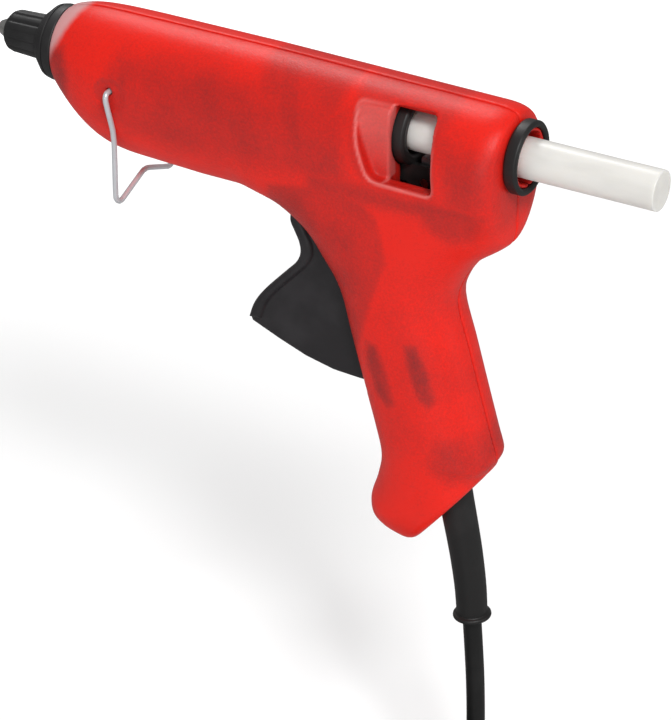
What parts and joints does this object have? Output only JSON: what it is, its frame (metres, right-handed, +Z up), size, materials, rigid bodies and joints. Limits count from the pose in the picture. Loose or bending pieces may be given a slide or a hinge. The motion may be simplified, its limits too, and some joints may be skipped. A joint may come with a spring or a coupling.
{
  "type": "hot glue gun",
  "caption": "Pistol-shaped hot glue gun: moulded two-part housing, trigger-driven stick feed, melt chamber and nozzle, fold-out wire stand, mains lead.",
  "frame": {"origin": "middle of the grip, on the plane where the two halves of the housing meet", "axes": "+X to the rear along the barrel, where the stick goes in, +Z up towards the barrel, -Y the left-hand side of a user aiming it"},
  "size_m": [0.2063, 0.0884, 0.2462],
  "materials": {
    "housing_red": "frosted translucent red, fine moulded grain",
    "inner_red": "moulded",
    "black_plastic": "fine grain",
    "black_rubber": "matte",
    "cord_rubber": "smooth, slightly worn",
    "steel": "drawn",
    "spring_steel": "oiled",
    "zinc_wire": "galvanised, bright",
    "cast_aluminium": "die cast",
    "brass_tip": "nickel plated",
    "ceramic": "fired ceramic",
    "silicone": "translucent silicone",
    "glue": "waxy, cloudy",
    "nylon_grey": "moulded",
    "core_brown": "smooth",
    "core_blue": "smooth",
    "nickel_pin": "nickel plated"
  },
  "bodies": {
    "housing": {"left_housing": "housing_red", "right_housing": "housing_red", "housing_screws": "steel", "rear_ring": "black_rubber", "front_collar": "black_plastic", "nozzle_sleeve": "black_rubber", "nozzle_tip": "brass_tip", "valve_ball": "steel", "valve_spring": "spring_steel", "melt_chamber": "cast_aluminium", "heater": "ceramic", "heater_clamp": "spring_steel", "front_insulator": "ceramic", "rear_insulator": "ceramic", "inlet_seal": "silicone", "seal_clip": "spring_steel", "trigger_pin": "steel", "return_spring": "spring_steel", "strain_relief": "black_rubber", "cable_clamp": "black_plastic", "clamp_screws": "steel", "terminal_block": "nylon_grey", "lead_sheath": "cord_rubber", "live_lead": "core_brown", "neutral_lead": "core_blue", "mains_lead": "cord_rubber", "lead_coil": "cord_rubber", "lead_tie": "black_plastic", "lead_tail": "cord_rubber", "plug_body": "black_plastic", "plug_pins": "nickel_pin"},
    "trigger": {"trigger": "black_plastic", "link_pin_front": "steel"},
    "link": {"pull_link": "steel"},
    "carriage": {"feed_carriage": "inner_red", "feed_ring": "black_plastic", "jaw_pin": "steel"},
    "jaw": {"clamp_jaw": "steel", "link_pin_rear": "steel"},
    "stick": {"glue_stick": "glue"},
    "stand": {"wire_stand": "zinc_wire"}
  },
  "joints": [
    {"name": "trigger_pull", "type": "hinge", "parent": "housing", "child": "trigger", "pos_m": [-0.026, 0, 0.041], "axis": [0, -1, 0], "range_deg": [0, 25], "stiffness_Nm_per_rad": 0.4, "springref_deg": -28.65, "deforming": ["return_spring"]},
    {"name": "link_swing", "type": "hinge", "parent": "trigger", "child": "link", "pos_m": [-0.026, 0, 0.0575], "axis": [0, -1, 0], "range_deg": [-22, 0]},
    {"name": "feed_slide", "type": "slide", "parent": "housing", "child": "carriage", "axis": [-1, 0, 0], "range_m": [0, 0.006]},
    {"name": "jaw_tilt", "type": "hinge", "parent": "carriage", "child": "jaw", "pos_m": [0.002, 0, 0.059], "axis": [0, 1, 0], "range_deg": [0, 8.5]},
    {"name": "stick_slide", "type": "slide", "parent": "housing", "child": "stick", "axis": [1, 0, 0], "range_m": [-0.0195, 0.093]},
    {"name": "stand_fold", "type": "hinge", "parent": "housing", "child": "stand", "pos_m": [-0.0906, 0, 0.0688], "axis": [0, 1, 0], "range_deg": [-20, 25]}
  ],
  "couplings": [
    {"joint": "link_swing", "follows": "trigger_pull", "ratio": -0.868},
    {"joint": "feed_slide", "follows": "trigger_pull", "m_per_rad": 0.0135},
    {"joint": "jaw_tilt", "follows": "trigger_pull", "ratio": 0.333}
  ]
}
